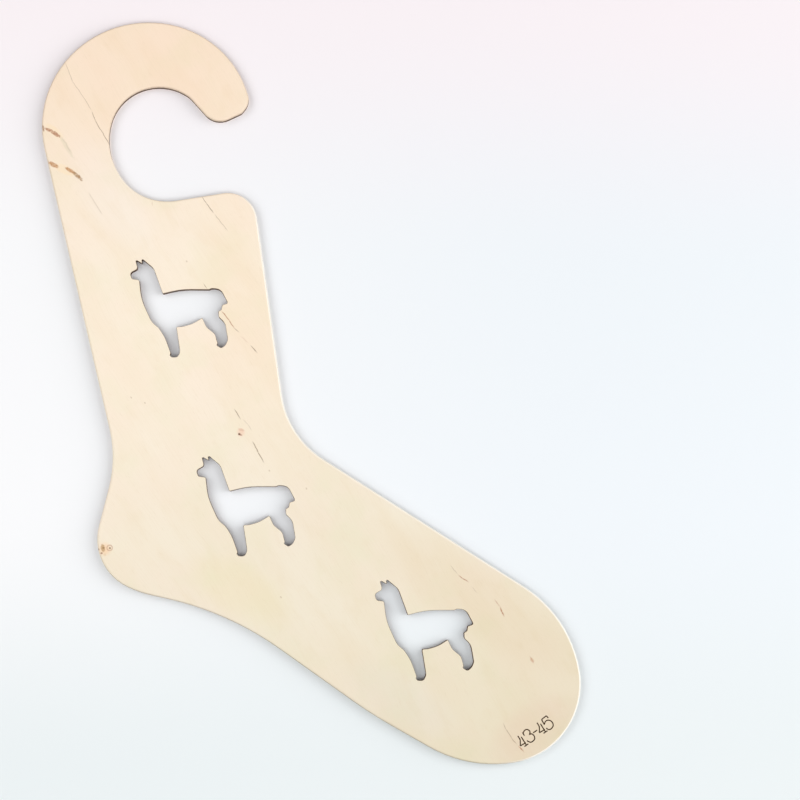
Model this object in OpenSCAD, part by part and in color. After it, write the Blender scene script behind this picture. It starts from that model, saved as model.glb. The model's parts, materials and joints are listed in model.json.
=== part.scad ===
// Sock blocker: a flat sock form cut out of three-ply birch plywood, with a hook at the cuff
// to hang it by and three alpaca cut-outs that let air reach the drying sock.
// The board lies on its back: X to the right, Y up the leg, Z out of the front face.
// The origin is the middle of the board's box, on the face that it lies on.

/* [Foot] */
// Length of the foot, from the back of the heel to the tip of the toe
foot_length = 269.2; // [224:0.1:324]
// Width across the ball of the foot
foot_width = 98.9; // [82:0.1:119]
// Width of the foot over the instep
instep_width = 96.7; // [80:0.1:116]
// Fall of the foot below level, in degrees
foot_fall = 33.2; // [26:0.1:40]
// Height of the foot's centre line over the heel's centre, square to the foot
foot_rise = 38.1; // [31:0.1:46]
// Radius of the back of the heel
heel_radius = 28.5; // [23:0.1:35]
// Radius of the underside of the heel
heel_base_radius = 61.5; // [50:0.1:75]
// Direction from the heel's centre in which its back turns into its underside, in degrees
heel_base_start = 244.5; // [235:0.5:255]
// Radius of the tip of the toe
toe_tip_radius = 42.1; // [35:0.1:48]
// Radius of the shoulder between the top of the foot and the tip of the toe
toe_shoulder_radius = 65.1; // [54:0.1:79]
// Radius of the shoulder between the sole and the tip of the toe
toe_sole_radius = 70.5; // [58:0.1:85]
// Radius of the hollow arch between heel and sole
arch_radius = 167.1; // [135:0.1:220]
// Distance of the arch's end from the heel's centre, along the foot
arch_reach = 83.5; // [69:0.1:101]
// Radius of the slight outward bow of the sole
sole_bow_radius = 238; // [195:1:600]
// Height of that bow over the straight sole
sole_bow = 1.9; // [0.5:0.1:2.3]
// Distance of the bow's middle behind the centre of the toe's tip, along the foot
sole_bow_reach = 53.4; // [40:0.1:70]

/* [Leg] */
// Lean of the leg's centre line off the upright, in degrees
leg_lean = 11.15; // [6:0.05:16]
// Distance of the leg's centre line in front of the heel's centre
leg_offset = 35.4; // [29:0.1:43]
// Width of the leg at the ankle
ankle_width = 93.4; // [77:0.1:113]
// Height of the ankle over the heel's centre, up the leg
ankle_height = 58.2; // [48:0.1:70]
// Radius of the hollow behind the ankle
ankle_radius = 66.4; // [55:0.1:80]
// Radius of the bend in front of the ankle
instep_radius = 49.4; // [40:0.1:60]
// Width of the leg at the cuff
cuff_width = 103.1; // [85:0.1:124]
// Height of the cuff over the heel's centre, up the leg
cuff_height = 176.7; // [147:0.1:213]
// Radius of the cuff's front corner
cuff_radius = 15.8; // [10:0.1:20]

/* [Hook] */
// Height over the cuff of the throat's circle, struck about the hook's centre
hook_rise = 17.5; // [13:0.1:28]
// Distance of the hook's centre in front of the leg's centre line
hook_shift = 3.5; // [0:0.1:8]
// Outer radius of the hook
hook_radius = 57.8; // [48:0.1:70]
// How much tighter the front of the hook is than its top, as radius
hook_front_ease = 3.1; // [0.5:0.1:6]
// Direction in which the top of the hook turns into its front, in degrees
hook_front_start = 74.5; // [62:0.5:90]
// Width of the hook's arm at the top
hook_arm = 36.6; // [30:0.1:44]
// Distance of the throat's centre in front of the hook's centre
throat_shift = 5.6; // [2:0.1:8]
// Distance of the throat's centre below the hook's centre
throat_drop = 5.5; // [2:0.1:8]
// How much flatter the back of the throat is than its top, as radius
throat_back_ease = 9.9; // [6:0.1:14]
// How much flatter the floor of the throat is than its top, as radius
throat_floor_ease = 3.1; // [1:0.1:9]
// Direction in which the top of the throat turns into its back, in degrees
throat_back_start = 166; // [145:1:180]
// Direction in which the back of the throat turns into its floor, in degrees
throat_back_end = 219; // [200:1:230]
// Radius of the front of the throat, which leads out to the hook's tip
throat_front_radius = 12.7; // [10:0.1:16]
// Direction in which the top of the throat turns into its front, in degrees
throat_front_start = 55.5; // [46:0.5:66]
// Direction of the hook's tip as seen from the hook's centre, in degrees
hook_tip_angle = 16; // [10:0.5:26]

/* [Cut-outs] */
// Height of an alpaca from hoof to ear
figure_height = 53; // [44:0.5:64]
// Height of the leg's alpaca over the heel's centre, up the leg
leg_figure_height = 118.5; // [105:0.1:130]
// Distance of the leg's alpaca in front of the leg's centre line
leg_figure_shift = 1.2; // [-4:0.1:4]
// Distance of the ankle's alpaca from the heel's centre, along the foot
ankle_figure_reach = 32.5; // [25:0.1:39]
// Distance of the ankle's alpaca above the foot's centre line
ankle_figure_shift = 3.4; // [-2:0.1:6]
// Distance of the foot's alpaca from the heel's centre, along the foot
foot_figure_reach = 148.4; // [135:0.1:155]
// Distance of the foot's alpaca above the foot's centre line
foot_figure_shift = 0.6; // [-4:0.1:4]

/* [Plywood] */
// Thickness of the front and of the back veneer
face_thickness = 1.2; // [0.6:0.1:2.4]
// Thickness of the core veneer
core_thickness = 1.4; // [0.8:0.1:3]
// Thickness of a glue line
glue_thickness = 0.1; // [0.05:0.01:0.2]
// Radius to which the outer rim is sanded, front and back
rim_radius = 1; // [0.3:0.1:1.5]

/* [Hidden] */

// Largest distance of a chord from its true arc
curve_tolerance = 0.04;
// Points closer together than this are one point
same_point = 0.01;
// Facets across the rounding of a rim
rim_steps = 4;
// Least straight wall under the rounding of a rim
rim_land = 0.1;
// How far the rim's tool runs past the board
cut_past = 1;
// How far the tool's first and last facet run on, as a share of a facet
rim_over = 0.6;

function heading(angle) = [cos(angle), sin(angle)];
function along_foot(reach, rise) = reach * heading(-foot_fall) + rise * heading(90 - foot_fall);
function up_leg(shift, height) = shift * heading(leg_lean) + height * heading(90 + leg_lean);
function full_turn(angle) = let (turn = angle - 360 * floor(angle / 360)) turn > 359.9 ? 0 : turn;
function arc_steps(radius, turn) =
    max(1, ceil(abs(turn) / (2 * acos(1 - min(0.5, curve_tolerance / abs(radius))))));
function loop_point(points, i) = points[(i + len(points)) % len(points)];
function without_repeats(points) =
    [for (i = [0:len(points) - 1]) if (norm(points[i] - loop_point(points, i - 1)) > same_point) points[i]];
function span(points, axis) =
    let (values = [for (p = points) p[axis]]) [min(values), max(values)];
function middle(points, axis) = (span(points, axis)[0] + span(points, axis)[1]) / 2;

// A smooth outline is a loop of arcs, [centre, radius], joined by the straight runs that touch both.
// The board lies to the left of the way round, so a hollow has a negative radius.
// An inset draws the same loop, point for point, that much further in.
function run_heading(a, b) =
    let (step = b[0] - a[0])
    atan2(step.y, step.x) + asin(max(-1, min(1, (a[1] - b[1]) / norm(step))));
function arc_points(arc, start, turn, inset) =
    let (steps = arc_steps(arc[1], turn))
    [for (i = [0:steps]) arc[0] + (arc[1] - inset) * heading(start + turn * i / steps - 90)];
function arc_turn(arc, start, end) = arc[1] > 0 ? full_turn(end - start) : -full_turn(start - end);
function smooth_outline(arcs, inset) =
    let (runs = [for (i = [0:len(arcs) - 1]) run_heading(arcs[i], loop_point(arcs, i + 1))])
    without_repeats([for (i = [0:len(arcs) - 1])
        let (start = loop_point(runs, i - 1))
        each arc_points(arcs[i], start, arc_turn(arcs[i], start, runs[i]), inset)]);

// A cornered outline is a loop of corners, [x, y, radius], each rounded as far as its two sides allow.
function corner_spot(corner) = [corner[0], corner[1]];
function corner_points(before, corner, after) =
    let (
        spot = corner_spot(corner),
        side_in = corner_spot(before) - spot,
        side_out = corner_spot(after) - spot,
        to_in = side_in / norm(side_in),
        to_out = side_out / norm(side_out),
        half = acos(max(-1, min(1, to_in * to_out))) / 2,
        room = min(norm(side_in), norm(side_out)) / 2,
        radius = min(corner[2], room * tan(half)),
        centre = spot + (to_in + to_out) / norm(to_in + to_out) * radius / sin(half),
        first = spot + to_in * radius / tan(half) - centre,
        side = sign(to_out.x * to_in.y - to_out.y * to_in.x),
        turn = side * (180 - 2 * half),
        start = atan2(first.y, first.x),
        steps = arc_steps(radius, turn)
    )
    [for (i = [0:steps]) centre + radius * heading(start + turn * i / steps)];
function cornered_outline(corners) =
    without_repeats([for (i = [0:len(corners) - 1])
        each corner_points(loop_point(corners, i - 1), corners[i], loop_point(corners, i + 1))]);

// Heel, sole and toe
heel_base_centre = (heel_radius - heel_base_radius) * heading(heel_base_start);
sole_rise = foot_rise - foot_width / 2;
toe_tip_reach = foot_length - heel_radius - toe_tip_radius;
bow_reach = toe_tip_reach - sole_bow_reach;
function shoulder_shift(radius) = radius - foot_width / 2;
function shoulder_reach(radius) =
    toe_tip_reach - sqrt(max(0, pow(radius - toe_tip_radius, 2) - pow(shoulder_shift(radius), 2)));

// Bend in front of the ankle, which touches the top of the foot and the front of the leg
instep_rise = sole_rise + instep_width + instep_radius;
instep_shift = leg_offset + ankle_width / 2 + instep_radius;
instep_corner = 90 - foot_fall - leg_lean;
instep_centre =
    (instep_rise * heading(90 + leg_lean) - instep_shift * heading(180 - foot_fall)) / sin(instep_corner);

// Hook, with a throat that a rail passes into
throat_radius = hook_radius - hook_arm + throat_drop;
hook_centre = up_leg(leg_offset + hook_shift, cuff_height + hook_rise + throat_radius);
hook_front_centre = hook_centre + hook_front_ease * heading(hook_front_start);
throat_centre = hook_centre + [throat_shift, -throat_drop];
throat_back_centre = throat_centre - throat_back_ease * heading(throat_back_start);
throat_floor_centre =
    throat_back_centre + (throat_back_ease - throat_floor_ease) * heading(throat_back_end);
throat_front_centre = throat_centre + (throat_radius - throat_front_radius) * heading(throat_front_start);

// Tip of the hook, from the throat round to the back: [direction from the tip's own, distance in from
// the hook's back, radius], the last two as shares of the hook's arm
tip_bottom = [3.1, 0.47, 0.29];
tip_corner = [-5.7, 0.221, 0.055];
tip_side = [2.8, 0.29, 0.254];
function tip_arc(drawn) =
    [hook_centre + (hook_radius - drawn[1] * hook_arm) * heading(hook_tip_angle + drawn[0]),
        drawn[2] * hook_arm];

// The way round the board, from the sole past the toe, up the front and down the back
sock_arcs = [
    [along_foot(bow_reach, sole_rise - sole_bow + sole_bow_radius), sole_bow_radius],
    [along_foot(shoulder_reach(toe_sole_radius), foot_rise + shoulder_shift(toe_sole_radius)),
        toe_sole_radius],
    [along_foot(toe_tip_reach, foot_rise), toe_tip_radius],
    [along_foot(shoulder_reach(toe_shoulder_radius), foot_rise - shoulder_shift(toe_shoulder_radius)),
        toe_shoulder_radius],
    [instep_centre, -instep_radius],
    [up_leg(leg_offset + cuff_width / 2 - cuff_radius, cuff_height - cuff_radius), cuff_radius],
    [throat_floor_centre, -throat_radius - throat_floor_ease],
    [throat_back_centre, -throat_radius - throat_back_ease],
    [throat_centre, -throat_radius],
    [throat_front_centre, -throat_front_radius],
    tip_arc(tip_bottom),
    tip_arc(tip_corner),
    tip_arc(tip_side),
    [hook_front_centre, hook_radius - hook_front_ease],
    [hook_centre, hook_radius],
    [up_leg(leg_offset - ankle_width / 2 - ankle_radius, ankle_height), -ankle_radius],
    [[0, 0], heel_radius],
    [heel_base_centre, heel_base_radius],
    [along_foot(arch_reach, sole_rise - arch_radius), -arch_radius],
];
sock_outline = smooth_outline(sock_arcs, 0);
box_middle = [middle(sock_outline, 0), middle(sock_outline, 1)];

// Alpaca, facing left, drawn about its own middle
ears = [[-23.7, 26.6, 0.5], [-19.9, 24.4, 0.3], [-20.5, 27.4, 0.5]];
neck = [[-13.9, 21.9, 6], [-8.8, 8.1, 0.4]];
back = [[1.2, 10.6, 60], [16.2, 10.6, 1]];
tail = [
    [17.4, 11.3, 1.5], [22.2, 10.9, 8.5], [26.3, 3.2, 0.8], [23.2, 2.2, 0.6], [22.8, -0.4, 1],
    [21.2, -1.2, 0.6],
];
hind_leg = [
    [21.3, -4.2, 1.5], [24.8, -7.5, 6], [26.4, -16.8, 3], [25.1, -19.6, 3], [22.9, -21.3, 1.3],
    [20.6, -19.7, 0.4], [21, -18.6, 0.5], [19.6, -13.6, 3], [15, -9.9, 5],
];
belly = [[12.6, -4.8, 0.5], [7.5, -8.1, 14], [1.8, -9.75, 8]];
front_leg = [
    [-1.3, -9.8, 0.8], [0.9, -23.4, 4], [-0.4, -26.3, 1.8], [-3.5, -26.3, 1.2], [-4.4, -25.2, 0.4],
    [-4, -24.1, 0.4], [-7.2, -15.4, 20], [-10.7, -10.3, 5],
];
chest = [[-14.4, -7.3, 9], [-20.1, 5, 30]];
face = [[-21.4, 15.5, 0.8], [-25.3, 16, 1.3], [-26.5, 19.2, 1.7], [-22.6, 21.4, 1.2], [-22.6, 22.9, 1.5]];
drawn_figure = cornered_outline(concat(ears, neck, back, tail, hind_leg, belly, front_leg, chest, face));
figure_outline = drawn_figure * figure_height / (span(drawn_figure, 1)[1] - span(drawn_figure, 1)[0]);
figure_places = [
    up_leg(leg_offset + leg_figure_shift, leg_figure_height),
    along_foot(ankle_figure_reach, foot_rise + ankle_figure_shift),
    along_foot(foot_figure_reach, foot_rise + foot_figure_shift),
];

// Plywood, from the back up
back_glue_level = face_thickness;
core_level = back_glue_level + glue_thickness;
front_glue_level = core_level + core_thickness;
front_level = front_glue_level + glue_thickness;

// The tool that rounds a rim, as rings round the board: [how far in, height over the glue]
rim = min(rim_radius, face_thickness - rim_land);
rim_round = [for (i = [0:rim_steps])
    let (angle = 90 * i / rim_steps)
    [rim * (1 - cos(angle)), face_thickness - rim + rim * sin(angle)]];
rim_start = rim_round[0] - rim_over * (rim_round[1] - rim_round[0]);
rim_end = rim_round[rim_steps] + rim_over * (rim_round[rim_steps] - rim_round[rim_steps - 1]);
rim_rings = concat(
    [rim_start],
    [for (i = [1:rim_steps - 1]) rim_round[i]],
    [rim_end, [rim_end[0], face_thickness + cut_past], [-cut_past, face_thickness + cut_past],
        [-cut_past, rim_start[1]]]
);

module figures() {
    for (place = figure_places) translate(place) polygon(figure_outline);
}

module sheet(thickness) {
    translate(-box_middle) linear_extrude(thickness) difference() {
        polygon(sock_outline);
        figures();
    }
}

module rim_tool() {
    size = len(sock_outline);
    count = len(rim_rings);
    points = [for (r = rim_rings, p = smooth_outline(sock_arcs, r[0])) [p.x, p.y, r[1]]];
    sides = [for (k = [0:count - 1], i = [0:size - 1])
        let (here = k * size, up = (k + 1) % count * size, next = (i + 1) % size)
        [here + i, here + next, up + next, up + i]];
    translate(-box_middle) polyhedron(points, sides);
}

module face_sheet() {
    difference() {
        sheet(face_thickness);
        rim_tool();
    }
}

module back_veneer() {
    color("antiquewhite") translate([0, 0, face_thickness]) mirror([0, 0, 1]) face_sheet();
}

module back_glue_line() {
    color("saddlebrown") translate([0, 0, back_glue_level]) sheet(glue_thickness);
}

module core_veneer() {
    color("tan") translate([0, 0, core_level]) sheet(core_thickness);
}

module front_glue_line() {
    color("saddlebrown") translate([0, 0, front_glue_level]) sheet(glue_thickness);
}

module front_veneer() {
    color("antiquewhite") translate([0, 0, front_level]) face_sheet();
}

back_veneer();
back_glue_line();
core_veneer();
front_glue_line();
front_veneer();
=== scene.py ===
import json
import math

import bpy
from mathutils import Matrix, Vector

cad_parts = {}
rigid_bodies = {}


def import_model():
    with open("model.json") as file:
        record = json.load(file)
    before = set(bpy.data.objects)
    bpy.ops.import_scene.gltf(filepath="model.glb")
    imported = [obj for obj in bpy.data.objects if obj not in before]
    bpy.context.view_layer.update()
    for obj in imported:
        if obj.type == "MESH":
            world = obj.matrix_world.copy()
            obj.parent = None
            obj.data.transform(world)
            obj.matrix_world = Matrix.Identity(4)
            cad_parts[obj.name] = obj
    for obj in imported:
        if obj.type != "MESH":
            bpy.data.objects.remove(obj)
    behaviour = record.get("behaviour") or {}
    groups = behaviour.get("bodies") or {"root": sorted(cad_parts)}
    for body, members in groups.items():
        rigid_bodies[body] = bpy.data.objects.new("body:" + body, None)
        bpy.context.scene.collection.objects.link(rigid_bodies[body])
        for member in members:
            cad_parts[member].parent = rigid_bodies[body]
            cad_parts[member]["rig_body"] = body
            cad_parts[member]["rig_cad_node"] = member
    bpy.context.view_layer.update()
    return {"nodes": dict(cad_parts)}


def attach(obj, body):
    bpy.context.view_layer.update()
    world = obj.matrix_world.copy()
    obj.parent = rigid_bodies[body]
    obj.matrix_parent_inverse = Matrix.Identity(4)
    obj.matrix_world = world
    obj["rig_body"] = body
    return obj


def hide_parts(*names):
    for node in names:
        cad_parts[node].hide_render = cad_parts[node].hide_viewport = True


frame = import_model()

MM = 0.001
FRONT_LEVEL = 4.0
RIM_RADIUS = 1.0
GRAIN_ANGLE = math.radians(-57)
# Points of a mesh closer than this are made one, in millimetres
MERGE = 0.002
# A point less deep than this lies on the face, in millimetres
FLUSH = 0.001
# A face is level if its normal has more than this share along Z
LEVEL = 0.9999
# A face is upright if its normal has less than this share along Z
UPRIGHT = 0.05
# Faces that meet within the first angle are made one, and within the second look smooth
FLAT_ANGLE = math.radians(0.3)
SMOOTH_ANGLE = math.radians(28)


# Shader maths


class Field:
    """One output of a node. Sums, products and so on of fields add Math nodes."""

    def __init__(self, tree, socket):
        self.tree = tree
        self.socket = socket

    def node(self, kind, settings, inputs, output=0):
        """Add a node of any type: its settings first, then the values or links of its sockets."""
        made = self.tree.nodes.new(kind)
        for name, value in settings.items():
            setattr(made, name, value)
        for key, value in inputs.items():
            if isinstance(value, Field):
                self.tree.links.new(value.socket, made.inputs[key])
            else:
                made.inputs[key].default_value = value
        return Field(self.tree, made.outputs[output])

    def math(self, operation, first, second=0.0):
        return self.node("ShaderNodeMath", {"operation": operation}, {0: first, 1: second})

    def __add__(self, other):
        return self.math("ADD", self, other)

    __radd__ = __add__

    def __sub__(self, other):
        return self.math("SUBTRACT", self, other)

    def __rsub__(self, other):
        return self.math("SUBTRACT", other, self)

    def __mul__(self, other):
        return self.math("MULTIPLY", self, other)

    def __truediv__(self, other):
        return self.math("DIVIDE", self, other)

    def __abs__(self):
        return self.math("ABSOLUTE", self)

    def most(self, other):
        return self.math("MAXIMUM", self, other)

    def least(self, other):
        return self.math("MINIMUM", self, other)

    def root(self):
        return self.math("SQRT", self)

    def rise(self, low, high):
        """0 below low, 1 above high, smooth between."""
        return self.node(
            "ShaderNodeMapRange",
            {"interpolation_type": "SMOOTHSTEP"},
            {"Value": self, "From Min": low, "From Max": high},
        )

    def out(self, name):
        return Field(self.tree, self.socket.node.outputs[name])

    def mix(self, below, above, blend="MIX"):
        """The colour below where this field is 0, the colour above, or their product, where it is 1."""
        settings = {"data_type": "RGBA", "blend_type": blend}
        return self.node("ShaderNodeMix", settings, {0: self, 6: below, 7: above}, 2)

    def feed(self, shader, socket):
        self.tree.links.new(self.socket, shader.inputs[socket])


def tone(red, green, blue):
    """A colour given as it looks on a screen, 0 to 255."""
    shares = [c / 255 for c in (red, green, blue)]
    return tuple(c / 12.92 if c <= 0.04045 else ((c + 0.055) / 1.055) ** 2.4 for c in shares) + (1.0,)


def new_finish(name):
    """A material, its shader, and where a point lies on the piece, in millimetres."""
    finish = bpy.data.materials.new(name)
    finish.use_nodes = True
    tree = finish.node_tree
    start = Field(tree, tree.nodes.new("ShaderNodeTexCoord").outputs["Object"])
    place = start.node("ShaderNodeVectorMath", {"operation": "SCALE"}, {0: start, "Scale": 1 / MM})
    return finish, tree.nodes["Principled BSDF"], place


def noise(place, x, y, z, detail=2.0):
    """Smooth noise at a place worked out from that of the piece."""
    spot = place.node("ShaderNodeCombineXYZ", {}, {"X": x, "Y": y, "Z": z})
    return place.node(
        "ShaderNodeTexNoise", {}, {"Vector": spot, "Scale": 1.0, "Detail": detail, "Roughness": 0.5}
    )


# Birch faces


# How far a grain line fades out at its ends, and how far its runs overlap, in millimetres
TAPER = 2.4
JOINT = 0.6
# How far the grain sways across the board, and how far a fine line wanders, in millimetres
SWAY = 16
WANDER = 0.8


class Veneer:
    """The face of a birch veneer, smoothed with sandpaper, with its grain and the marks that grew in it."""

    def __init__(self, name, seed):
        self.finish, self.shader, self.place = new_finish(name)
        self.seed = seed
        apart = self.place.node("ShaderNodeSeparateXYZ", {}, {0: self.place})
        self.x = apart
        self.y = apart.out("Y")
        self.along = self.x * math.cos(GRAIN_ANGLE) + self.y * math.sin(GRAIN_ANGLE)
        straight = self.x * -math.sin(GRAIN_ANGLE) + self.y * math.cos(GRAIN_ANGLE)
        self.across = straight + (self.mottle(0.012, layer=0) - 0.5) * SWAY
        self.wander = (self.mottle(0.3, layer=3, detail=3.0) - 0.5) * WANDER
        self.ragged = self.mottle(1.1, layer=13, detail=3.0) - 0.5

    def mottle(self, scale, layer, detail=2.0):
        """Noise that runs no way in particular. Each layer has its own pattern."""
        return noise(self.place, self.x * scale, self.y * scale, self.seed + layer, detail)

    def figure(self, length, width, layer, detail=2.0):
        """Noise drawn out along the grain, each patch about that long and wide."""
        return noise(self.place, self.along / length, self.across / width, self.seed + layer, detail)

    def written(self, name):
        """A value that is written at the points of the sheet."""
        return self.place.node("ShaderNodeAttribute", {"attribute_name": name}, {}, "Fac")

    def off_line(self, start, end):
        """How far along the way from start to end, how far beside it, and how long it is."""
        length = math.dist(start, end)
        step_x = (end[0] - start[0]) / length
        step_y = (end[1] - start[1]) / length
        run = self.x * step_x + self.y * step_y - (start[0] * step_x + start[1] * step_y)
        side = self.y * step_x - self.x * step_y - (start[1] * step_x - start[0] * step_y) + self.wander
        return run, side, length

    def line(self, start, end, width, fade_in, fade_out):
        """A thin line that wanders a little and fades over the given lengths at its ends."""
        run, side, length = self.off_line(start, end)
        body = 1 - abs(side).rise(width * 0.2, width)
        return body * run.rise(-JOINT, fade_in) * (1 - run.rise(length - fade_out, length + JOINT))

    def lens(self, start, end, width):
        """A spindle-shaped spot with a ragged edge."""
        run, side, length = self.off_line(start, end)
        run = (run - length / 2) / (length / 2)
        side = side / width
        return 1 - (run * run + side * side + self.ragged * 1.4).rise(0.35, 1.1)

    def cloud(self, start, end, width):
        """A soft patch that fades out all round."""
        run, side, length = self.off_line(start, end)
        run = (run - length / 2) / (length / 2 + width)
        side = side / width
        return 1 - (run * run + side * side).rise(0.0, 1.0)

    def strongest(self, marks):
        """Several marks as one, each point as dark as the darkest of them there."""
        whole = marks[0]
        for mark in marks[1:]:
            whole = whole.most(mark)
        return whole

    def lines(self, *runs):
        """Broken lines, each a strength, half a width and its points."""
        parts = []
        for share, width, points in runs:
            last = len(points) - 2
            for i, (a, b) in enumerate(zip(points, points[1:])):
                fade_in = JOINT if i > 0 else TAPER
                fade_out = JOINT if i < last else TAPER
                parts.append(self.line(a, b, width, fade_in, fade_out) * share)
        return self.strongest(parts) * (0.5 + self.figure(length=4, width=4, layer=14))

    def distance(self, spot):
        """How far a point lies from a spot, unevenly, as rings in wood do."""
        across = self.x - spot[0] + self.wander * 0.3
        up = self.y - spot[1]
        return (across * across + up * up).root() + self.ragged * 0.6

    def dot(self, spot, inner, outer):
        """A dark spot, whole within the inner radius and gone at the outer."""
        return 1 - self.distance(spot).rise(inner, outer)


# Painted light on the wood as it falls off across the board: a pinker cast at the hook, and painted shade,
# darker and yellower, along the foot and more at the toe
HOOK_PAINTED_LIGHT = (1.0, 0.925, 0.88, 1.0)
FOOT_PAINTED_SHADE = (0.9, 0.925, 0.91, 1.0)
TOE_PAINTED_SHADE = (0.905, 0.898, 0.841, 1.0)


def birch(name, seed, marks):
    """Cream birch: soft bands and clouds, painted light across the board (pinker at the hook, painted shade
    along the foot and toe), fine fibre, pores, then the marks, then the pale rim from sanding with its
    painted highlight, then the scorched edges with painted shade at some of them.
    """
    wood = Veneer(name, seed)
    bands = wood.figure(length=80, width=22, layer=1).rise(0.36, 0.68)
    colour = bands.mix(tone(254, 240, 220), tone(252, 236, 213))
    rosy = wood.mottle(0.022, layer=9).rise(0.4, 0.66)
    colour = (rosy * 0.4).mix(colour, tone(255, 236, 217))
    sallow = wood.mottle(0.03, layer=21, detail=3.0).rise(0.46, 0.7)
    colour = (sallow * 0.5).mix(colour, tone(246, 236, 207))
    patches = wood.figure(length=15, width=8, layer=6, detail=3.0).rise(0.5, 0.76)
    colour = (patches * 0.34).mix(colour, tone(248, 230, 203))
    to_toe = wood.x * 0.32 - wood.y * 0.95
    # Painted light and shade: pinker at the hook, darker along the foot and more so at the toe
    colour = wood.y.rise(60, 185).mix(colour, HOOK_PAINTED_LIGHT, "MULTIPLY")
    colour = to_toe.rise(-60, 120).mix(colour, FOOT_PAINTED_SHADE, "MULTIPLY")
    colour = to_toe.rise(90, 230).mix(colour, TOE_PAINTED_SHADE, "MULTIPLY")
    fibre = wood.figure(length=26, width=0.55, layer=2, detail=3.0)
    colour = (fibre.rise(0.45, 0.75) * 0.1).mix(colour, tone(226, 206, 172))
    pores = wood.figure(length=5, width=0.3, layer=3, detail=1.0).rise(0.66, 0.74)
    colour = (pores * 0.14).mix(colour, tone(200, 172, 132))
    colour = marks(wood, colour)
    # Pale rim from sanding, with a painted highlight where it faces the lamps on the right
    colour = wood.written("sanded").mix(colour, tone(255, 251, 243))
    # Laser browning, with painted shade at cut-outs facing left and on the rim facing down, and the rim
    # darker at the hook
    soot = wood.mottle(0.5, layer=5, detail=3.0)
    browned_and_shaded = (wood.written("scorch_and_shade") * (0.6 + soot * 0.7)).least(1.0)
    colour = browned_and_shaded.mix(colour, tone(60, 34, 14))
    colour.feed(wood.shader, "Base Color")
    (0.6 + fibre * 0.2).feed(wood.shader, "Roughness")
    wood.shader.inputs["Specular IOR Level"].default_value = 0.25
    height = fibre * 0.7 + (1 - pores) * 0.3
    bump = wood.place.node("ShaderNodeBump", {}, {"Strength": 0.2, "Distance": 0.03 * MM, "Height": height})
    bump.feed(wood.shader, "Normal")
    return wood.finish


def soft_patches(wood, colour):
    """Wide patches where the front is a little darker, paler or yellower."""
    for start, end, width, tint in (
        ((40, -82), (140, -145), 24, (0.97, 0.938, 0.9, 1.0)),
        ((-46, 100), (-30, -15), 26, (0.99, 0.965, 0.935, 1.0)),
        ((-52, -100), (-20, -118), 18, (0.98, 0.98, 0.905, 1.0)),
        ((30, -155), (68, -178), 18, (1.0, 1.01, 1.07, 1.0)),
        ((-120, 125), (-95, 85), 20, (1.0, 1.015, 1.055, 1.0)),
        ((108, -192), (132, -176), 18, (0.985, 0.93, 0.938, 1.0)),
    ):
        colour = wood.cloud(start, end, width).mix(colour, tint, "MULTIPLY")
    return colour


def grain_lines(wood, colour):
    """Fine grey-brown lines along the grain, rusty ones, and a small spot near the toe."""
    hairlines = wood.lines(
        (0.35, 0.3, [(-134, 177.5), (-129.7, 166.7), (-123.3, 157.4), (-119, 150.5)]),
        (0.6, 0.34, [(-119, 150.5), (-116.9, 144.8), (-108.8, 131.4)]),
        (0.6, 0.36, [(-58.9, 103.7), (-56.3, 100), (-52.1, 94.3)]),
        (0.35, 0.34, [(-52.1, 94.3), (-44.5, 84.8)]),
        (0.55, 0.34, [(-57.6, 56), (-55, 52.7)]),
        (0.6, 0.36, [(-41, 32), (-37.6, 29.3)]),
        (0.7, 0.36, [(-31.8, 22.6), (-27.9, 18)]),
        (0.65, 0.42, [(-40.1, -12), (-36.6, -17.9)]),
        (0.2, 0.36, [(-35.6, -17.4), (-32.7, -20.6), (-30.5, -24.2)]),
        (0.65, 0.4, [(-30.3, -29.4), (-27.1, -35.6), (-23.8, -41.3)]),
        (0.3, 0.34, [(75.8, -95.4), (80.2, -100.7)]),
        (0.2, 0.34, [(87, -106.7), (90.7, -110.8)]),
        (0.5, 0.34, [(103.9, -178.9), (105.4, -182.3), (108.3, -187), (111.3, -190.4)]),
        (0.2, 0.5, [(-119.9, 105.3), (-112.2, 92.8)]),
        (0.2, 0.5, [(-135.3, 135.6), (-132.7, 132.2), (-129.7, 126.7)]),
    )
    colour = hairlines.mix(colour, tone(140, 110, 78))
    rusty = wood.lines(
        (0.75, 0.4, [(-47.6, 41.1), (-43.3, 35.8), (-40.4, 31.4)]),
        (0.18, 0.45, [(-37.6, 27.7), (-32.7, 23.4)]),
        (0.8, 0.42, [(80.2, -100.7), (82.5, -102.6), (86, -104.7)]),
        (0.4, 0.5, [(99.5, -113.5), (101.5, -116.3), (102.6, -118)]),
        (0.85, 0.56, [(102.4, -117.4), (103.6, -120.6), (104.8, -123)]),
        (0.5, 0.5, [(118.2, -143.6), (120.6, -147.9)]),
        (0.9, 0.42, [(111.8, -190.9), (115, -194.4)]),
        (0.6, 0.5, [(-85.6, 100.4), (-85.2, 98.3)]),
    )
    colour = rusty.mix(colour, tone(178, 118, 78))
    toe_spot = wood.lens((118.7, -144.8), (120.6, -147.4), 1.0)
    return (toe_spot * 0.5).mix(colour, tone(206, 164, 132))


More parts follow.
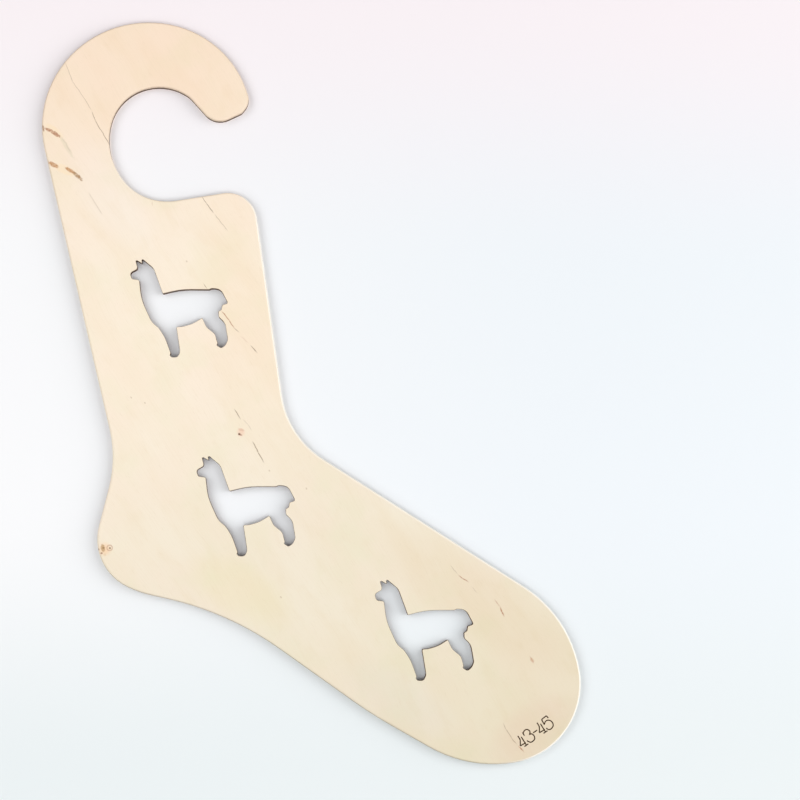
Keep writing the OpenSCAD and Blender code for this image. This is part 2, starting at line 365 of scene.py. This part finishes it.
def hook_streaks(wood, colour):
    """Two rows of short brown streaks at the back of the hook, in warmer wood."""
    warm = wood.lens((-139.5, 120.4), (-126, 114.6), 2.6).most(wood.lens((-144, 143), (-134, 134.6), 2.4))
    colour = (warm * 0.5).mix(colour, tone(255, 230, 192))
    colour = (wood.lens((-136.6, 137.4), (-127.6, 123), 1.3) * 0.3).mix(colour, tone(216, 206, 174))
    grit = 0.55 + wood.mottle(0.9, layer=4, detail=3.0).rise(0.3, 0.7) * 0.45
    upper_pair = [((-144.4, 140.5), (-138.6, 138.1), 1.0), ((-141.4, 139.4), (-135.4, 135.4), 1.15)]
    upper_end = [((-145.4, 142.2), (-144.4, 138.2), 0.6)]
    lower_pair = [((-142.2, 121.8), (-135.8, 118.6), 1.3), ((-133, 119), (-126.8, 115.2), 1.05)]
    lower_end = [((-128.6, 116.8), (-122.9, 111.2), 1.1)]
    for shade, streaks in (
        (tone(180, 124, 92), upper_pair),
        (tone(186, 146, 116), upper_end),
        (tone(196, 142, 94), lower_pair),
        (tone(176, 138, 98), lower_end),
    ):
        patch = wood.strongest([wood.lens(*streak) for streak in streaks])
        colour = (patch * grit).mix(colour, shade)
    return colour


def ankle_knot(wood, colour):
    """A rosy pin knot over the middle alpaca."""
    colour = (wood.dot((-36.4, -24.8), 0.5, 3.0) * 0.7).mix(colour, tone(246, 209, 184))
    colour = (wood.lens((-38, -22.9), (-34.4, -24), 0.8) * 0.5).mix(colour, tone(222, 178, 150))
    colour = (wood.lens((-37.5, -25.6), (-35.6, -26.5), 0.6) * 0.7).mix(colour, tone(184, 142, 116))
    return wood.dot((-37.3, -25.7), 0.2, 0.85).mix(colour, tone(112, 76, 52))


def heel_knot(wood, colour):
    """A cluster of small knots at the back of the heel, one of them ringed."""
    colour = (wood.dot((-107.8, -87.2), 1.0, 4.6) * 0.6).mix(colour, tone(248, 207, 162))
    colour = (wood.lens((-109.1, -84.2), (-108.3, -88.8), 1.3) * 0.8).mix(colour, tone(194, 158, 114))
    colour = (wood.dot((-108.5, -86.5), 0.2, 0.8) * 0.8).mix(colour, tone(150, 116, 78))
    ring = abs(wood.distance((-105.2, -86.5)) - 1.4)
    colour = ((1 - ring.rise(0.1, 0.5)) * 0.6).mix(colour, tone(196, 150, 120))
    colour = (wood.dot((-105.1, -86.6), 0.15, 0.8) * 0.9).mix(colour, tone(134, 90, 64))
    for spot in ((-109.4, -89.3), (-111.1, -87.4)):
        colour = (wood.dot(spot, 0.15, 0.85) * 0.8).mix(colour, tone(160, 112, 84))
    return (wood.dot((-107.6, -90.1), 0.2, 1.1) * 0.4).mix(colour, tone(222, 188, 150))


def freckles(wood, colour):
    """A few faint specks, each a little longer along the grain."""
    spots = [(-87.8, -9.1), (-95.2, -6.2), (-66.5, 67.9), (-21.1, -45.3), (-1.1, -54.7), (-14.4, -112.6)]
    specks = wood.strongest([wood.lens((x - 0.4, y + 0.6), (x + 0.4, y - 0.6), 0.5) for x, y in spots])
    return (specks * 0.35).mix(colour, tone(180, 150, 112))


def front_marks(wood, colour):
    """The marks on the front, laid one over the other."""
    for mark in (soft_patches, grain_lines, hook_streaks, ankle_knot, heel_knot, freckles):
        colour = mark(wood, colour)
    return colour


def back_marks(wood, colour):
    """Two fine lines and a small spot on the back."""
    hairlines = wood.lines(
        (0.5, 0.36, [(-120, 60), (-104, 36), (-97, 22)]),
        (0.5, 0.36, [(20, -88), (33, -110), (38, -117)]),
    )
    colour = hairlines.mix(colour, tone(150, 122, 90))
    return (wood.lens((-74, -20), (-69, -27), 1.0) * 0.6).mix(colour, tone(196, 146, 106))


# Cut walls and engraving


def burnt_edge(name, seed, dark, light, roughness):
    """A wall that a laser has turned brown: upright streaks from the beam, cloudy soot."""
    finish, shader, place = new_finish(name)
    apart = place.node("ShaderNodeSeparateXYZ", {}, {0: place})
    x, y, z = apart, apart.out("Y"), apart.out("Z")
    streaks = noise(place, x * 2.6, y * 2.6, z * 0.12 + seed, 3.0)
    soot = noise(place, x * 0.16, y * 0.16, z * 0.2 + seed, 2.0)
    fibre = noise(place, x * 0.3, y * 0.3, z * 5 + seed, 2.0)
    shade = (streaks * 0.5 + soot * 0.3 + fibre * 0.2).rise(0.36, 0.64)
    shade.mix(dark, light).feed(shader, "Base Color")
    (roughness + (streaks - 0.5) * 0.2).feed(shader, "Roughness")
    shader.inputs["Specular IOR Level"].default_value = 0.3
    height = streaks * 0.7 + fibre * 0.3
    bump = place.node("ShaderNodeBump", {}, {"Strength": 0.4, "Distance": 0.05 * MM, "Height": height})
    bump.feed(shader, "Normal")
    return finish


face_finish = birch("birch_face", seed=4.0, marks=front_marks)
back_finish = birch("birch_back", seed=31.0, marks=back_marks)
ply_edge = burnt_edge(
    "browned_ply_edge", seed=2.0, dark=tone(58, 34, 18), light=tone(112, 72, 40), roughness=0.7
)
core_edge = burnt_edge(
    "browned_core_edge", seed=7.0, dark=tone(48, 28, 15), light=tone(92, 58, 32), roughness=0.72
)
glue_edge = burnt_edge(
    "charred_glue", seed=12.0, dark=tone(28, 20, 15), light=tone(52, 37, 27), roughness=0.5
)
engraved_finish = burnt_edge(
    "engraved_line", seed=17.0, dark=tone(46, 27, 5), light=tone(80, 52, 14), roughness=0.9
)


# Face sheets


def alone(piece):
    """Make a piece the only one that operators act on."""
    bpy.ops.object.select_all(action="DESELECT")
    piece.select_set(True)
    bpy.context.view_layer.objects.active = piece


def pick_faces(piece, wanted):
    """Go into edit mode with only the wanted faces selected."""
    alone(piece)
    bpy.ops.object.mode_set(mode="EDIT")
    bpy.ops.mesh.select_mode(type="FACE")
    bpy.ops.mesh.select_all(action="DESELECT")
    bpy.ops.object.mode_set(mode="OBJECT")
    for face in piece.data.polygons:
        face.select = wanted(face)
    bpy.ops.object.mode_set(mode="EDIT")


def sheet_copy(node, name):
    """A merged copy of a veneer, with flat faces made whole."""
    alone(frame["nodes"][node])
    bpy.ops.object.duplicate()
    piece = bpy.context.object
    piece.name = name
    piece.data.name = name
    piece.parent = None
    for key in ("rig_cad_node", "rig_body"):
        del piece[key]
    bpy.ops.object.mode_set(mode="EDIT")
    bpy.ops.mesh.select_all(action="SELECT")
    bpy.ops.mesh.remove_doubles(threshold=MERGE * MM)
    bpy.ops.mesh.dissolve_limited(angle_limit=FLAT_ANGLE)
    bpy.ops.object.mode_set(mode="OBJECT")
    piece.data.materials.clear()
    return piece


# Widths of the two rings on the face along every edge, the first darkened by laser browning and, at some
# edges, painted shade, and the second fading
SCORCHED_AND_SHADED_RINGS = (0.15, 0.1)
# Places of a sheet's own two finishes in its list
ON_FACE = 0
ON_WALL = 1


def finish_sheet(piece, outward, finish):
    """Draw the rings that hold the browning and painted shade, and give the face and the walls their
    finishes.
    """
    piece.data.materials.append(finish)
    piece.data.materials.append(ply_edge)
    pick_faces(piece, lambda face: face.normal.z * outward > LEVEL)
    for ring in SCORCHED_AND_SHADED_RINGS:
        bpy.ops.mesh.inset(thickness=ring * MM, depth=0)
    bpy.ops.object.mode_set(mode="OBJECT")
    for face in piece.data.polygons:
        cut_wall = abs(face.normal.z) < UPRIGHT
        glued_side = face.normal.z * outward < -LEVEL
        face.material_index = ON_WALL if cut_wall or glued_side else ON_FACE


def ramp(value, low, high):
    """0 at low, 1 at high, straight between and flat outside."""
    return min(1.0, max(0.0, (value - low) / (high - low)))


def facing(normal, degrees):
    """How squarely a normal, seen from above, faces that way: 1 straight to it, -1 straight from it."""
    flat = Vector((normal.x, normal.y))
    way = Vector((math.cos(math.radians(degrees)), math.sin(math.radians(degrees))))
    return flat.normalized().dot(way)


def rim_paleness_and_highlight(normal, spot):
    """How pale the outer rim is, from sanding and a painted highlight: strongest where it faces right
    towards the lamps and towards the toe, and none at the hook.
    """
    to_right = ramp(facing(normal, -8), 0.1, 0.5)
    below_hook = ramp(spot.y / MM, 125, 95)
    to_toe = ramp(spot.x / MM, -40, 100)
    return to_right * below_hook * (0.5 + 0.35 * to_toe)


# How dark the rim is made: darker at the hook, painted shade where it faces down, and laser smoke low on
# the rim all round
HOOK_RIM_DARKENING = 0.4
SOLE_PAINTED_SHADE = 0.63
LOW_SMOKE = 0.4


def rim_smoke_and_shade(normal, spot, lean):
    """How dark the outer rim is, where lean is 0 at the face and 1 at the wall: laser smoke low down,
    painted shade where it faces down, and darker at the hook.
    """
    hook_darkening = HOOK_RIM_DARKENING * ramp(spot.y / MM, 112, 137)
    # Painted shade on the rim where it faces down
    sole_shade = SOLE_PAINTED_SHADE * ramp(-normal.y, 0, 0.714)
    return max(LOW_SMOKE * lean ** 5, lean * hook_darkening, lean * sole_shade)


def cut_scorch_and_shade(way, spot):
    """How brown the face is at a cut-out: laser browning, more towards the toe, and painted shade added
    where the cut faces left.
    """
    to_toe = ramp(spot.y / MM, 90, -130)
    # Painted shade where the cut faces left
    left_shade = max(0.0, facing(way, 205))
    return 0.6 + 0.22 * to_toe + 0.18 * left_shade


def mark_edges(piece, outward, face_level):
    """Write at each point of the sheet how dark it is, from laser browning and painted shade, and how pale
    its rim is, from sanding and a painted highlight.
    """
    mesh = piece.data
    by_wall = set()
    for face in mesh.polygons:
        if face.material_index == ON_WALL:
            by_wall.update(face.vertices)
    way_at_cut = {}
    for face in mesh.polygons:
        on_wall = [i for i in face.vertices if i in by_wall]
        if face.normal.z * outward > LEVEL and on_wall:
            way = sum((mesh.vertices[i].normal for i in on_wall), Vector())
            way_at_cut.update((i, way) for i in face.vertices)
    scorch_and_shade = []
    sanded = []
    for vertex in mesh.vertices:
        depth = (face_level - vertex.co.z / MM) * outward
        share = 0.0
        pale_and_highlit = 0.0
        if depth < FLUSH:
            if vertex.index in way_at_cut:
                share = cut_scorch_and_shade(way_at_cut[vertex.index], vertex.co)
        elif depth < RIM_RADIUS + FLUSH:
            lean = 1 - math.asin(ramp(depth, RIM_RADIUS, 0)) / math.radians(90)
            # Painted highlight: the rim is paler where it faces right and towards the toe, besides its
            # sanding
            pale_and_highlit = rim_paleness_and_highlight(vertex.normal, vertex.co) * ramp(lean, 0, 0.25)
            share = rim_smoke_and_shade(vertex.normal, vertex.co, lean) * (1 - pale_and_highlit)
        scorch_and_shade.append(share)
        sanded.append(pale_and_highlit)
    for name, values in (("scorch_and_shade", scorch_and_shade), ("sanded", sanded)):
        mesh.attributes.new(name, "FLOAT", "POINT").data.foreach_set("value", values)


# Size mark: plain numerals, each a few strokes measured from the foot of the first
FOUR = [
    [(-1.3, 0), (1.3, 0)],
    [(0, 0), (0.2, 5.25)],
    [(-1.1, 6.75), (-1.05, 5.2), (-1.25, 3.9), (-3, 1.55)],
    [(-3, 1.55), (0.55, 1.3)],
]
THREE = [
    [(2.1, 6.85), (1.95, 4.8)],
    [(2.15, 6.4), (3.4, 7.25), (5.2, 6.9), (5.9, 5.2), (5.2, 4.1), (4.4, 3.75)],
    [(4.4, 3.75), (5.5, 3.9), (6.4, 2.4), (6, 0.3), (4.3, -0.3), (2.4, -0.1), (1.6, 1.9)],
]
DASH = [[(6.7, 3.4), (9.4, 3.4)]]
FIVE = [
    [(17.85, 6.95), (18.1, 5.3)],
    [(14.55, 6.75), (17.85, 6.95)],
    [(14.55, 6.75), (14.3, 3.6)],
    [
        (14.3, 3.6), (15.4, 4.8), (17.4, 4.7), (18.7, 2.9),
        (18.4, 0.6), (16.6, -0.35), (14.6, -0.2), (14.1, 1.5),
    ],
]
SECOND_FOUR_AT = 12.6
# Where the first numeral stands on the board, millimetres to a unit of the strokes, and the mark's slant
MARK_AT = (116.2, -190.75)
MARK_SCALE = 0.98
MARK_TURN = math.radians(33.7)
# Radius of the cutter's nose, and how far over the face its middle runs, in millimetres
STROKE_RADIUS = 0.34
STROKE_RISE = 0.06


def engraving_tool():
    """A round-nosed cutter drawn along every stroke."""
    second_four = [[(x + SECOND_FOUR_AT, y) for x, y in stroke] for stroke in FOUR]
    bpy.ops.object.select_all(action="DESELECT")
    bpy.ops.curve.primitive_nurbs_path_add()
    tool = bpy.context.object
    tool.name = "engraving_tool"
    tool.data.splines.clear()
    for stroke in FOUR + THREE + DASH + second_four + FIVE:
        spline = tool.data.splines.new("NURBS")
        spline.points.add(len(stroke) - 1)
        for point, (x, y) in zip(spline.points, stroke):
            point.co = (x * MARK_SCALE * MM, y * MARK_SCALE * MM, 0, 1)
        spline.order_u = min(3, len(stroke))
        spline.use_endpoint_u = True
        spline.resolution_u = 5
    tool.data.bevel_depth = STROKE_RADIUS * MM
    tool.data.bevel_resolution = 2
    tool.data.use_fill_caps = True
    alone(tool)
    bpy.ops.object.convert(target="MESH")
    tool = bpy.context.object
    tool.location = (MARK_AT[0] * MM, MARK_AT[1] * MM, (FRONT_LEVEL + STROKE_RISE) * MM)
    tool.rotation_euler = (0, 0, MARK_TURN)
    bpy.ops.object.transform_apply(location=True, rotation=True, scale=True)
    tool.data.materials.clear()
    tool.data.materials.append(engraved_finish)
    return tool


def engrave(piece):
    """Cut the size mark into a sheet and clear the slivers that the cut leaves."""
    tool = engraving_tool()
    alone(piece)
    cut = piece.modifiers.new("size_mark", "BOOLEAN")
    cut.operation = "DIFFERENCE"
    cut.solver = "EXACT"
    cut.use_self = True
    cut.material_mode = "TRANSFER"
    cut.object = tool
    bpy.ops.object.modifier_apply(modifier=cut.name)
    bpy.data.objects.remove(tool)
    bpy.ops.object.mode_set(mode="EDIT")
    bpy.ops.mesh.select_all(action="SELECT")
    bpy.ops.mesh.remove_doubles(threshold=MERGE * MM)
    bpy.ops.mesh.dissolve_degenerate(threshold=MERGE * MM)
    bpy.ops.object.mode_set(mode="OBJECT")


front_face = sheet_copy("front_veneer", "front_face")
finish_sheet(front_face, 1, face_finish)
engrave(front_face)
mark_edges(front_face, 1, FRONT_LEVEL)

back_face = sheet_copy("back_veneer", "back_face")
finish_sheet(back_face, -1, back_finish)
mark_edges(back_face, -1, 0.0)

for piece, node in ((front_face, "front_veneer"), (back_face, "back_veneer")):
    alone(piece)
    bpy.ops.object.shade_smooth_by_angle(angle=SMOOTH_ANGLE)
    for face in piece.data.polygons:
        if abs(face.normal.z) > LEVEL:
            face.use_smooth = False
    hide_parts(node)
    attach(piece, "root")

for node, finish in (
    ("core_veneer", core_edge),
    ("front_glue_line", glue_edge),
    ("back_glue_line", glue_edge),
):
    ply = frame["nodes"][node]
    ply.data.materials.clear()
    ply.data.materials.append(finish)


# Table, light and camera


# How far from the middle the table starts to fade and is gone, in millimetres
FADE_FROM = 450
FADE_TO = 1000


def table_finish():
    """White, with painted light drift: darker and bluer to the right, darker at the bottom and pinker at
    the top, fading into the white of the studio.
    """
    finish, shader, place = new_finish("white_table")
    apart = place.node("ShaderNodeSeparateXYZ", {}, {0: place})
    x, y = apart, apart.out("Y")
    # Painted light falloff on the table: darker and bluer to the right, darker at the bottom, pinker at the
    # top
    colour = x.rise(-200, 180).mix(tone(252, 252, 253), tone(241, 246, 250))
    colour = (1 - y.rise(-210, -60)).mix(colour, tone(236, 242, 243))
    colour = (y.rise(60, 230) * 0.8).mix(colour, tone(255, 244, 247))
    colour.feed(shader, "Base Color")
    from_middle = (x * x + y * y).root()
    (1 - from_middle.rise(FADE_FROM, FADE_TO)).feed(shader, "Alpha")
    shader.inputs["Roughness"].default_value = 0.9
    shader.inputs["Specular IOR Level"].default_value = 0.1
    return finish


# The table's width in metres, and how far it lies under the board in millimetres
TABLE_WIDTH = 12
TABLE_GAP = 0.02

bpy.ops.object.select_all(action="DESELECT")
bpy.ops.mesh.primitive_plane_add(size=TABLE_WIDTH, location=(0, 0, -TABLE_GAP * MM))
table = bpy.context.object
table.name = "table"
table.data.materials.append(table_finish())

# How strongly the white all round lights the scene, where 1 is as bright as it looks
SKY_SHARE = 0.22

world = bpy.data.worlds.new("studio")
bpy.context.scene.world = world
world.use_nodes = True
sky = world.node_tree.nodes["Background"]
sky.inputs["Color"].default_value = (0.985, 0.99, 1.0, 1.0)
ray = Field(world.node_tree, world.node_tree.nodes.new("ShaderNodeLightPath").outputs["Is Camera Ray"])
seen = ray.most(ray.out("Is Glossy Ray")).most(ray.out("Is Transmission Ray"))
(seen * (1 - SKY_SHARE) + SKY_SHARE).feed(sky, "Strength")


def soft_lamp(name, azimuth, elevation, distance, width, height, power):
    """A soft lamp that faces the board from that side and height, in degrees, metres and watts."""
    lamp = bpy.data.objects.new(name, bpy.data.lights.new(name, "AREA"))
    bpy.context.scene.collection.objects.link(lamp)
    lamp.data.shape = "RECTANGLE"
    lamp.data.size = width
    lamp.data.size_y = height
    lamp.data.energy = power
    lamp.rotation_euler = (math.radians(90 - elevation), 0, math.radians(azimuth + 90))
    lamp.location = lamp.rotation_euler.to_matrix() @ Vector((0, 0, distance))
    lamp.visible_camera = False


soft_lamp("side_window", azimuth=0, elevation=18, distance=2.5, width=1.8, height=1.0, power=23.3)
soft_lamp("right_softbox", azimuth=0, elevation=44, distance=2.0, width=2.6, height=1.3, power=15.2)
soft_lamp("left_softbox", azimuth=180, elevation=46, distance=2.0, width=2.6, height=1.3, power=18.7)
soft_lamp("ceiling_bounce", azimuth=-90, elevation=68, distance=1.9, width=1.2, height=1.0, power=9.4)

# The middle of the picture at the level of the face, and the camera's place from there, in millimetres
PICTURE_MIDDLE = Vector((48.99, -6.85, FRONT_LEVEL))
CAMERA_OFFSET = Vector((-48.6, -91.8, 900))
CAMERA_LENS = 75.5

aim = PICTURE_MIDDLE * MM
eye = aim + CAMERA_OFFSET * MM
back = (eye - aim).normalized()
right = Vector((0, 1, 0)).cross(back).normalized()
up = back.cross(right)
camera = bpy.data.objects.new("camera", bpy.data.cameras.new("camera"))
bpy.context.scene.collection.objects.link(camera)
camera.matrix_world = Matrix.Translation(eye) @ Matrix((right, up, back)).transposed().to_4x4()
camera.data.lens = CAMERA_LENS
camera.data.sensor_width = 36
bpy.context.scene.camera = camera
bpy.context.scene.view_settings.view_transform = "Standard"
